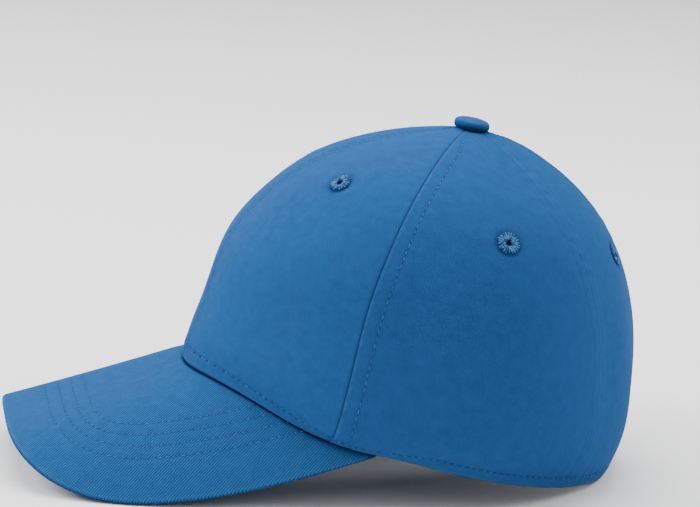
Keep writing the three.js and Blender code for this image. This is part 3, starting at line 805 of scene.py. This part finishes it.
def varied(tree, least, most, seed):
    inputs = {0: least, 1: most, "Seed": seed}
    return tree_node(tree, "FunctionNodeRandomValue", inputs, data_type="FLOAT_VECTOR").outputs[0]


def vectors(tree, operation, first, second):
    return tree_node(tree, "ShaderNodeVectorMath", {0: first, 1: second}, operation=operation).outputs[0]


def laid_on(tree, points, piece, turn, size):
    inputs = {"Points": points, "Instance": piece, "Rotation": turn, "Scale": size}
    return tree_node(tree, "GeometryNodeInstanceOnPoints", inputs).outputs["Instances"]


def realized_in_two(tree, plain, marked, plain_material, marked_material):
    """Ends a tree: joins two sets, makes them real, and gives the marked one the second material."""
    mark = tree_node(
        tree, "GeometryNodeStoreNamedAttribute", {"Geometry": marked, "Name": "marked", "Value": True},
        data_type="BOOLEAN", domain="INSTANCE",
    )
    joined = tree_node(tree, "GeometryNodeJoinGeometry", {"Geometry": plain})
    tree.links.new(mark.outputs["Geometry"], joined.inputs["Geometry"])
    smooth = tree_node(tree, "GeometryNodeSetShadeSmooth", {"Geometry": joined.outputs["Geometry"]})
    real = tree_node(tree, "GeometryNodeRealizeInstances", {"Geometry": smooth.outputs["Geometry"]})
    first = {"Geometry": real.outputs["Geometry"], "Material": plain_material}
    painted = tree_node(tree, "GeometryNodeSetMaterial", first)
    chosen = tree_node(tree, "GeometryNodeInputNamedAttribute", {"Name": "marked"}, data_type="BOOLEAN")
    second = {
        "Geometry": painted.outputs["Geometry"], "Selection": chosen.outputs["Attribute"],
        "Material": marked_material,
    }
    finish = tree_node(tree, "GeometryNodeSetMaterial", second)
    tree_node(tree, "NodeGroupOutput", {0: finish.outputs["Geometry"]})


stitch_tree, stitch_inputs, row_in = new_tree("topstitch_row", {
    "Row": "Geometry", "Pitch": "Float", "Size": "Vector", "Hole Size": "Vector", "Seed": "Int",
    "Thread": "Material", "Hole": "Material",
}, "Stitches")
row_curve = tree_node(stitch_tree, "GeometryNodeMeshToCurve", {"Mesh": row_in["Row"]})
row_places = tree_node(
    stitch_tree, "GeometryNodeCurveToPoints",
    {"Curve": row_curve.outputs["Curve"], "Length": row_in["Pitch"]}, mode="LENGTH",
)
row_points, row_ahead = row_places.outputs["Points"], row_places.outputs["Tangent"]
row_outward = tree_node(
    stitch_tree, "GeometryNodeInputNamedAttribute", {"Name": "cloth_normal"}, data_type="FLOAT_VECTOR"
)
row_turn = facing(stitch_tree, row_outward.outputs["Attribute"], row_ahead)
row_vary = varied(stitch_tree, STITCH_LEAST, STITCH_MOST, row_in["Seed"])
row_size = vectors(stitch_tree, "MULTIPLY", row_in["Size"], row_vary)
row_bead = tree_node(stitch_tree, "GeometryNodeMeshUVSphere", {"Segments": 6, "Rings": 4, "Radius": 0.5})
row_lay = laid_on(stitch_tree, row_points, row_bead.outputs["Mesh"], row_turn, row_size)
half_pitch = tree_node(stitch_tree, "ShaderNodeMath", {0: row_in["Pitch"], 1: 0.5}, operation="MULTIPLY")
row_step = tree_node(
    stitch_tree, "ShaderNodeVectorMath", {0: row_ahead, "Scale": half_pitch.outputs[0]}, operation="SCALE"
)
row_holes = tree_node(
    stitch_tree, "GeometryNodeSetPosition", {"Geometry": row_points, "Offset": row_step.outputs[0]}
)
row_prick = laid_on(
    stitch_tree, row_holes.outputs["Geometry"], row_bead.outputs["Mesh"], row_turn, row_in["Hole Size"]
)
realized_in_two(stitch_tree, row_lay, row_prick, row_in["Thread"], row_in["Hole"])


def made_plain(name, mesh, tree, identifiers, values):
    """Runs a tree on a mesh, with its inputs set by identifier, and keeps the result as a plain mesh."""
    worker = placed(mesh.name, mesh)
    modifier = worker.modifiers.new(tree.name, "NODES")
    modifier.node_group = tree
    for label, value in values.items():
        modifier[identifiers[label]] = value
    bpy.context.view_layer.update()
    evaluated = worker.evaluated_get(bpy.context.evaluated_depsgraph_get())
    result = bpy.data.meshes.new_from_object(evaluated)
    result.name = name
    bpy.data.objects.remove(worker)
    return placed(name, result)


def sewn_rows(name, rows, seed, hole):
    """One row of stitches along each path of points, lying on the cloth."""
    points, normals, edges = [], [], []
    for path, outward in rows:
        edges += [(len(points) + k, len(points) + k + 1) for k in range(len(path) - 1)]
        points += (path + outward * STITCH_PROUD).tolist()
        normals += outward.tolist()
    mesh = bpy.data.meshes.new(name + "_line")
    mesh.from_pydata(points, edges, [])
    set_attribute(mesh, "cloth_normal", normals)
    return made_plain(name, mesh, stitch_tree, stitch_inputs, {
        "Pitch": STITCH_PITCH, "Size": STITCH_SIZE, "Hole Size": hole, "Seed": seed,
        "Thread": sewing_thread, "Hole": needle_hole_shadow,
    })


crown_stitches = sewn_rows("crown_topstitching", seam_rows, 1, SEAM_HOLE_SIZE)
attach(crown_stitches, "root")
rim_stitches = sewn_rows("rim_topstitching", rim_rows, 3, RIM_HOLE_SIZE)
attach(rim_stitches, "root")

# Eyelets: six air holes, each whipped round with close satin stitches over a padded ring that
# holds both faces of the cloth. The thread matches the cloth.
EYELET_WRAPS = 22
EYELET_RING = 0.0031
EYELET_RISE = 0.00026
EYELET_SIDES = 52
EYELET_RAGGED_FROM = 0.0042
EYELET_RAGGED_SHARE = 0.045
WRAP_SIZE = (0.0041, 0.00074, 0.0007)
WRAP_LEAST = (0.74, 0.75, 0.7)
WRAP_MOST = (1.12, 1.3, 1.3)
WRAP_SKEW = 0.0006
eyelet_profile = np.array([
    (0.00125, -0.0019), (0.00125, 0.00015), (0.0018, 0.00032), (0.0032, 0.0003), (0.004, 0.00018),
    (0.0047, -0.00004), (0.0047, -0.0005), (0.0023, -0.0006), (0.0023, -0.0016), (0.0041, -0.0017),
    (0.0041, -0.0020), (0.0030, -0.0024), (0.0018, -0.0023),
])
eyelet_thread = thread_colour(
    "eyelet_thread", cloth_colour(16, 56, 104), cloth_colour(66, 120, 168), roughness=0.8, grain=700
)
# The padded ring under the wraps, its dark colour painted shadow: it shows as a dark ragged outline round the
# wraps and in the hole.
eyelet_ground_shadow = thread_colour("eyelet_ground_shadow", cloth_colour(8, 36, 80), cloth_colour(14, 52, 100), 0.9)

eyelet_tree, eyelet_inputs, ring_in = new_tree("whipped_ring", {
    "Ring": "Geometry", "Wraps": "Int", "Radius": "Float", "Height": "Float", "Size": "Vector", "Seed": "Int",
    "Thread": "Material", "Ground": "Material",
}, "Eyelet")
ring_circle = tree_node(
    eyelet_tree, "GeometryNodeMeshCircle", {"Vertices": ring_in["Wraps"], "Radius": ring_in["Radius"]}
)
ring_place = tree_node(eyelet_tree, "GeometryNodeInputPosition")
ring_skew = varied(eyelet_tree, (-WRAP_SKEW, -WRAP_SKEW, 0), (WRAP_SKEW, WRAP_SKEW, 0), ring_in["Seed"])
ring_ahead = vectors(eyelet_tree, "ADD", ring_place.outputs["Position"], ring_skew)
ring_turn = facing(eyelet_tree, (0, 0, 1), ring_ahead)
ring_vary = varied(eyelet_tree, WRAP_LEAST, WRAP_MOST, ring_in["Seed"])
ring_size = vectors(eyelet_tree, "MULTIPLY", ring_in["Size"], ring_vary)
ring_wrap = tree_node(eyelet_tree, "GeometryNodeMeshUVSphere", {"Segments": 8, "Rings": 5, "Radius": 0.5})
ring_lay = laid_on(eyelet_tree, ring_circle.outputs["Mesh"], ring_wrap.outputs["Mesh"], ring_turn, ring_size)
ring_rise = tree_node(eyelet_tree, "ShaderNodeCombineXYZ", {"Z": ring_in["Height"]})
ring_raised = tree_node(
    eyelet_tree, "GeometryNodeTransform", {"Geometry": ring_lay, "Translation": ring_rise.outputs["Vector"]}
)
realized_in_two(
    eyelet_tree, ring_in["Ring"], ring_raised.outputs["Geometry"], ring_in["Ground"], ring_in["Thread"]
)


def lathed(name, profile, sides):
    """A ring turned from a closed profile, its outer rim a little ragged."""
    turns = np.linspace(0, 2 * np.pi, sides, endpoint=False)
    rag = EYELET_RAGGED_SHARE * np.sin(13 * turns + 2 * np.sin(4 * turns))
    points, faces = [], []
    for radius, height in profile:
        ragged = radius * (1 + rag * (radius > EYELET_RAGGED_FROM))
        points += np.stack([ragged * np.cos(turns), ragged * np.sin(turns), height + 0 * turns], -1).tolist()
    count = len(profile)
    for i in range(count):
        for k in range(sides):
            a, b = i * sides + k, i * sides + (k + 1) % sides
            c, d = ((i + 1) % count) * sides + (k + 1) % sides, ((i + 1) % count) * sides + k
            faces.append((d, c, b, a))
    mesh = bpy.data.meshes.new(name)
    mesh.from_pydata(points, [], faces)
    return mesh


def seat_matrix(place, outward):
    turn = Vector((0, 0, 1)).rotation_difference(Vector(outward)).to_matrix().to_4x4()
    return Matrix.Translation(Vector(place)) @ turn


for number, (seat_name, (place, outward)) in enumerate(eyelet_seats.items()):
    ring = lathed("eyelet_ring", eyelet_profile, EYELET_SIDES)
    eyelet = made_plain(f"whipped_eyelet_{seat_name}", ring, eyelet_tree, eyelet_inputs, {
        "Wraps": EYELET_WRAPS, "Radius": EYELET_RING, "Height": EYELET_RISE, "Size": WRAP_SIZE,
        "Seed": number, "Thread": eyelet_thread, "Ground": eyelet_ground_shadow,
    })
    eyelet.data.transform(seat_matrix(place, outward))
    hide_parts(f"eyelet_{seat_name}")
    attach(eyelet, "root")

# Button: a flat metal-backed dome covered with a gathered disc of the same twill, its stem pushed
# through the point where the six panels meet.
BUTTON_SIDES = 96
BUTTON_GATHERS = 15
BUTTON_GATHER_DEPTH = 0.00011
BUTTON_GATHER_FROM = 0.0045
button_profile = np.array([
    (0.0, -0.0019), (0.002, -0.0019), (0.002, 0.0001), (0.0062, -0.0001), (0.0071, 0.0001), (0.0075, 0.0005),
    (0.0077, 0.0011), (0.00772, 0.0018), (0.00768, 0.0025), (0.00745, 0.0031), (0.007, 0.0036),
    (0.0062, 0.0040), (0.005, 0.0043), (0.0034, 0.0046), (0.0017, 0.00475), (0.0, 0.0048),
])
turns = np.linspace(0, 2 * np.pi, BUTTON_SIDES, endpoint=False)
radii, heights = button_profile[:, :1], button_profile[:, 1:]
gathers = np.sin(BUTTON_GATHERS * turns + 0.8 * np.sin(3 * turns)) * bell((heights - 0.001) * 1e3, 1.1)
gather = BUTTON_GATHER_DEPTH * gathers * (radii > BUTTON_GATHER_FROM)
button_radii = np.maximum(radii + gather, 0)
button_points = [button_radii * np.cos(turns), button_radii * np.sin(turns), heights + 0 * turns]
button_points = np.stack(button_points, -1)
ring_starts = np.arange(len(button_profile) - 1)[:, None] * BUTTON_SIDES
first = ring_starts + np.arange(BUTTON_SIDES)
second = ring_starts + np.roll(np.arange(BUTTON_SIDES), -1)
button_faces = np.stack([first, second, second + BUTTON_SIDES, first + BUTTON_SIDES], -1).reshape(-1, 4)
button_mesh = bpy.data.meshes.new("covered_button")
button_mesh.from_pydata(button_points.reshape(-1, 3).tolist(), [], button_faces.tolist())
merge = bmesh.new()
merge.from_mesh(button_mesh)
bmesh.ops.remove_doubles(merge, verts=merge.verts, dist=1e-7)
bmesh.ops.recalc_face_normals(merge, faces=merge.faces)
merge.to_mesh(button_mesh)
merge.free()
button_mesh.polygons.foreach_set("use_smooth", [True] * len(button_mesh.polygons))
flat = np.array([v.co for v in button_mesh.vertices])
stretch = np.hypot(flat[:, 0], flat[:, 1]) + np.maximum(0.003 - flat[:, 2], 0)
heading = np.arctan2(flat[:, 1], flat[:, 0])
disc = [stretch * np.cos(heading), stretch * np.sin(heading), 0 * heading]
set_attribute(button_mesh, "cloth", np.column_stack(disc))
set_attribute(button_mesh, "wear_and_highlight", 0.3 * bell((flat[:, 2] - 0.0036) * 1e3, 0.5))
# Painted shade: the button darkens towards its foot, where it meets the crown.
set_attribute(button_mesh, "shade", 0.65 * (1 - smooth_step((flat[:, 2] - 0.0006) / 0.0022)))
button = placed("covered_button", button_mesh)
crown_top = rest_point(np.array([0, 0, CROWN_HEIGHT]))
crown_top_out = rest_direction(unit(np.array([0, -CROWN_LEAN, 1.0])))
button.data.transform(seat_matrix(crown_top, crown_top_out))
button.data.materials.append(panel_twill)
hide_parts("button")
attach(button, "root")

# Peak: a stiff curved board, hidden between a top and an under cover of twill that are turned in
# all round the edge, and held together by rows of stitching that run parallel to that edge.
PEAK_LENGTH = 0.0706
PEAK_END_FLARE = 0.0006
PEAK_SQUARENESS = 3.48
PEAK_ROOT_GAP = -0.0007
PEAK_COVER = 0.0012
PEAK_PLY_GAP = 0.0005
PEAK_STITCH_ROWS = np.array([0.0195, 0.0252, 0.0309, 0.0366])
PEAK_EDGE_MARKS = np.array([0, 0.08, 0.25, 0.5, 0.85, 1.3, 1.9, 2.7]) * 1e-3
PEAK_ROOT_MARKS = np.array([0, 0.2, 0.4, 0.65, 0.95, 1.3, 1.7, 2.2]) * 1e-3
PEAK_EDGE_RADIUS = 0.0011
PEAK_ROOT_TUCK = 0.0005
PEAK_END_THINNING = 0.8
PEAK_END_THINNING_AZIMUTH = 16
PEAK_COLUMNS = 200
PEAK_ROWS = 92


def peak_normal(x, y):
    step = 1e-5
    slope_x = (peak_height(x + step, y) - peak_height(x - step, y)) / (2 * step)
    slope_y = (peak_height(x, y + step) - peak_height(x, y - step)) / (2 * step)
    return unit(np.stack([-slope_x, -slope_y, np.ones_like(slope_x)], -1))


def peak_outline(turn):
    aside, ahead = np.sin(np.radians(turn)), np.cos(np.radians(turn))
    half_width = peak_end[0] + PEAK_END_FLARE
    length = PEAK_LENGTH + RIM_FRONT_REACH + peak_end[1]
    power = PEAK_SQUARENESS
    size = ((np.abs(aside) / half_width) ** power + (np.abs(ahead) / length) ** power) ** (-1 / power)
    return np.stack([size * aside, peak_end[1] - size * ahead], -1)


def peak_root(azimuth, depth):
    """Where a face of the peak, at a depth under its top, meets the crown's wall."""
    low, high = np.zeros_like(azimuth), np.full_like(azimuth, 8.0)
    for _ in range(20):
        middle = (low + high) / 2
        wall = crown_point(np.abs(azimuth), middle, PEAK_ROOT_GAP)
        ply = peak_height(wall[:, 0], wall[:, 1]) - depth / peak_normal(wall[:, 0], wall[:, 1])[:, 2]
        above = wall[:, 2] < ply
        low, high = np.where(above, middle, low), np.where(above, high, middle)
    root = crown_point(np.abs(azimuth), low, PEAK_ROOT_GAP)
    root[:, 0] *= np.sign(azimuth) + (azimuth == 0)
    return root


def spaced_turns(count):
    """Turns round the peak's edge, spaced partly by its length and partly by angle."""
    fine = np.linspace(-90, 90, 2001)
    line = peak_outline(fine)
    run = np.concatenate([[0], np.cumsum(np.linalg.norm(np.diff(line, axis=0), axis=1))])
    even = np.interp(np.linspace(0, run[-1], count), run, fine)
    return 0.65 * even + 0.35 * np.linspace(-90, 90, count)


peak_turns = spaced_turns(PEAK_COLUMNS + 1)
peak_azimuths = peak_turns / 90 * PEAK_END
edge_line = peak_outline(peak_turns)
from_end = (PEAK_END - np.abs(peak_azimuths)) / PEAK_END_THINNING_AZIMUTH
ply_share = 1 - PEAK_END_THINNING * (1 - smooth_step(from_end))


def peak_laid_flat(x, y):
    """A place on the peak's face, rolled out flat, with its slope taken as that of its front."""
    fine = np.linspace(0, peak_end[0] + 0.002, 400)
    arch = peak_arch_drop * (fine / peak_end[0]) ** PEAK_ARCH_POWER
    lean = math.sqrt(1 + PEAK_SLOPE ** 2)
    run = np.hypot(np.diff(fine), np.diff(arch) / lean)
    aside = np.sign(x) * np.interp(np.abs(x), fine, np.concatenate([[0], np.cumsum(run)]))
    return np.stack([aside, y * lean - PEAK_SLOPE * np.interp(np.abs(x), fine, arch) / lean], -1)


def peak_face(depth, relief_of):
    """One face of a cover, from the peak's root to its edge, with its relief, normals and distances."""
    depth = depth * ply_share
    root = peak_root(peak_azimuths, depth)[:, :2]
    spans = np.linalg.norm(edge_line - root, axis=1)[:, None]
    held = np.maximum(spans, 0.006)
    first, last = PEAK_ROOT_MARKS / held, 1 - PEAK_EDGE_MARKS[::-1] / held
    middle = np.linspace(0, 1, PEAK_ROWS)[1:-1]
    forth = np.concatenate([first, first[:, -1:] + (last[:, :1] - first[:, -1:]) * middle, last], axis=1).T
    plan = root + (edge_line - root) * forth[..., None]
    normal = peak_normal(plan[..., 0], plan[..., 1])
    plan = plan + normal[..., :2] * (depth * (1 - forth) ** 2)[..., None]
    face = np.concatenate([plan, peak_height(plan[..., 0], plan[..., 1])[..., None]], -1)
    normal = peak_normal(face[..., 0], face[..., 1])
    border = face[-1]
    places = np.linspace(0, len(border) - 1, 700)
    fine = np.stack([np.interp(places, np.arange(len(border)), border[:, k]) for k in range(3)], -1)
    inward = np.stack([np.min(np.linalg.norm(row[:, None] - fine, axis=2), axis=1) for row in face])
    inward[-1] = 0
    behind = np.linalg.norm(face - face[0], axis=2)
    shift = relief_of(inward, behind, face) * ply_share
    return face + normal * (shift - depth)[..., None], normal, inward, behind


def quilted(inward, face):
    """The grooves that the rows of stitching draw into a cover."""
    relief = 0 * inward
    for number, row in enumerate(PEAK_STITCH_ROWS):
        crimp = 1 + 0.4 * wandering(face[..., 0] + face[..., 1], 0.0066, 1.3 * number)
        relief = relief - 0.17 * crimp * bell((inward - row) * 1e3, 0.7)
    return relief * 1e-3


def top_face(inward, behind, face):
    tucked = PEAK_ROOT_TUCK * bell(behind * 1e3, 0.8)
    return quilted(inward, face) - edge_turn(inward, PEAK_EDGE_RADIUS) - tucked


def hidden_face(inward, behind, face):
    return 0 * inward


def under_face(inward, behind, face):
    return edge_turn(inward, PEAK_EDGE_RADIUS) - quilted(inward, face)


peak_twill = twill(
    "peak_twill", cloth_colour(43, 91, 143), cloth_colour(14, 49, 98), cloth_colour(64, 116, 168),
    wale_pitch=0.00095, contrast=1.0, relief=0.95, mottle=0.6,
)
under_twill = twill(
    "peak_under_twill", cloth_colour(34, 76, 126), cloth_colour(18, 52, 100), cloth_colour(56, 104, 156),
    wale_pitch=0.00095, contrast=0.6, relief=0.5,
)
covers = {
    "peak_top": (0.0, PEAK_COVER, top_face, hidden_face, peak_twill),
    "peak_under": (PEAK_COVER + PEAK_PLY_GAP, PEAK_DEPTH, hidden_face, under_face, under_twill),
}
peak_stitching = []
for name, (upper_depth, lower_depth, upper_relief, lower_relief, cover_material) in covers.items():
    upper, upper_normal, upper_inward, upper_behind = peak_face(upper_depth, upper_relief)
    lower, lower_normal, lower_inward, _ = peak_face(lower_depth, lower_relief)
    # Painted shadow under the crown's rim along the peak's root, wider towards its ends, a painted dark line
    # along the turned edge, and painted shade along the rows of stitching and the under cover's edge.
    crease = 0.8 + 1.3 * smooth_step((np.abs(peak_azimuths) - 38) / 20)
    shade = 0.9 * bell(upper_behind * 1e3, crease) + 0.5 * bell(upper_inward * 1e3, 0.4)
    for row in PEAK_STITCH_ROWS:
        shade = shade + 0.07 * bell((upper_inward - row) * 1e3, 0.45)
    under_shade = 0.3 * bell(lower_inward * 1e3, 0.5)
    laid = peak_laid_flat(upper[..., 0], upper[..., 1])
    wear_and_highlight = 0.35 * bell(upper_inward * 1e3 - 1.1, 0.5)
    shades = (shade, under_shade)
    cover = cloth_shell(name + "_twill", rest_point(upper), rest_point(lower), laid, wear_and_highlight, shades)
    cover.data.materials.append(cover_material)
    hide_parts(name + "_cover")
    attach(cover, "root")
    if name == "peak_top":
        shown, outward, inward = upper, upper_normal, upper_inward
    else:
        shown, outward, inward = lower, -lower_normal, lower_inward
    for row in PEAK_STITCH_ROWS:
        far_enough = np.max(inward, axis=0) > row
        crossed, part = crossing(-inward[:, far_enough], -row)
        path = along_crossing(shown[:, far_enough], crossed, part)
        facings = outward[crossed, np.nonzero(far_enough)[0]]
        peak_stitching.append((rest_point(path), rest_direction(facings)))

peak_stitches = sewn_rows("peak_topstitching", peak_stitching, 5, SEAM_HOLE_SIZE)
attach(peak_stitches, "root")

# Sweatband: a folded band of soft cotton sewn inside the rim and turned up, lower behind, where it
# passes under the slit.
BAND_HEIGHT = 0.030
BAND_LOW_HEIGHT = 0.013
BAND_INSET = 0.0024
BAND_WALL = 0.0012
BAND_EDGE_RADIUS = 0.46 * BAND_WALL
BAND_WAVE = 0.00012
BAND_STITCHES = 0.0042
BAND_TOP_STITCHES = 0.003
BAND_COLUMNS = 360
band_rows = np.array([
    0, 0.004, 0.012, 0.03, 0.06, 0.1, 0.14, 0.2, 0.3, 0.4, 0.5, 0.6, 0.7, 0.78, 0.85, 0.9, 0.94, 0.97, 0.988,
    0.996, 1,
])
band_azimuth = np.linspace(-180, 180, BAND_COLUMNS, endpoint=False)
under_slit = smooth_step((np.abs(band_azimuth) - 115) / 45)
band_top = BAND_HEIGHT + (BAND_LOW_HEIGHT - BAND_HEIGHT) * under_slit
band_climb = np.degrees(np.arcsin(band_top / CROWN_HEIGHT))[None] * band_rows[:, None]
band_az = np.abs(band_azimuth)[None] + 0 * band_climb
band_side = np.where(band_azimuth < 0, -1.0, 1.0)[None]
band_up = band_top[None] * band_rows[:, None]
band_down = band_top[None] - band_up
band_turn = edge_turn(band_up, BAND_EDGE_RADIUS) + edge_turn(band_down, BAND_EDGE_RADIUS)
band_wave = BAND_WAVE * wandering(np.radians(band_azimuth)[None] * 0.088, 0.012, 0.7)
band_wave = band_wave * np.sin(np.pi * band_rows)[:, None]
band_groove = 0.00022 * bell((band_up - BAND_STITCHES) * 1e3, 0.6)
band_groove = band_groove + 0.00018 * bell((band_down - BAND_TOP_STITCHES) * 1e3, 0.6)
band_outer = crown_point(band_az, band_climb, -BAND_INSET - band_turn + band_wave)
band_inner = crown_point(band_az, band_climb, -BAND_INSET - BAND_WALL + band_turn + band_wave + band_groove)
band_outer[..., 0] *= band_side
band_inner[..., 0] *= band_side
band_round = np.concatenate([[0], np.cumsum(np.linalg.norm(np.diff(band_outer[4], axis=0), axis=1))])
band_cloth_place = np.stack([band_round[None] + 0 * band_up, band_up], -1)
band_material = twill(
    "band_cloth", cloth_colour(30, 70, 118), cloth_colour(18, 48, 94), cloth_colour(52, 96, 146),
    wale_pitch=0.0008, contrast=0.4, relief=0.3,
)
band = cloth_shell(
    "sweatband_cotton", rest_point(band_outer), rest_point(band_inner), band_cloth_place,
    0.4 * bell(band_down * 1e3, 1.0), (0 * band_up, 0 * band_up), closed_round=True,
)
band.data.materials.append(band_material)
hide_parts("sweatband")
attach(band, "root")
band_normal = unit(np.cross(np.gradient(band_inner, axis=0), np.gradient(band_inner, axis=1)))
inside_crown = np.array([0, 0, 0.05])
band_lines = []
for height in (BAND_STITCHES + 0 * band_top, band_top - BAND_TOP_STITCHES):
    share = height / band_top
    row = np.clip(np.searchsorted(band_rows, share) - 1, 0, len(band_rows) - 2)
    part = (share - band_rows[row]) / (band_rows[row + 1] - band_rows[row])
    line = along_crossing(band_inner, row, part)
    outward = band_normal[row, np.arange(BAND_COLUMNS)]
    inwards = np.sum(outward * (inside_crown - line), axis=1, keepdims=True) > 0
    band_lines.append((rest_point(line), rest_direction(np.where(inwards, outward, -outward))))
band_stitches = sewn_rows("sweatband_stitching", band_lines, 9, SEAM_HOLE_SIZE)
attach(band_stitches, "root")
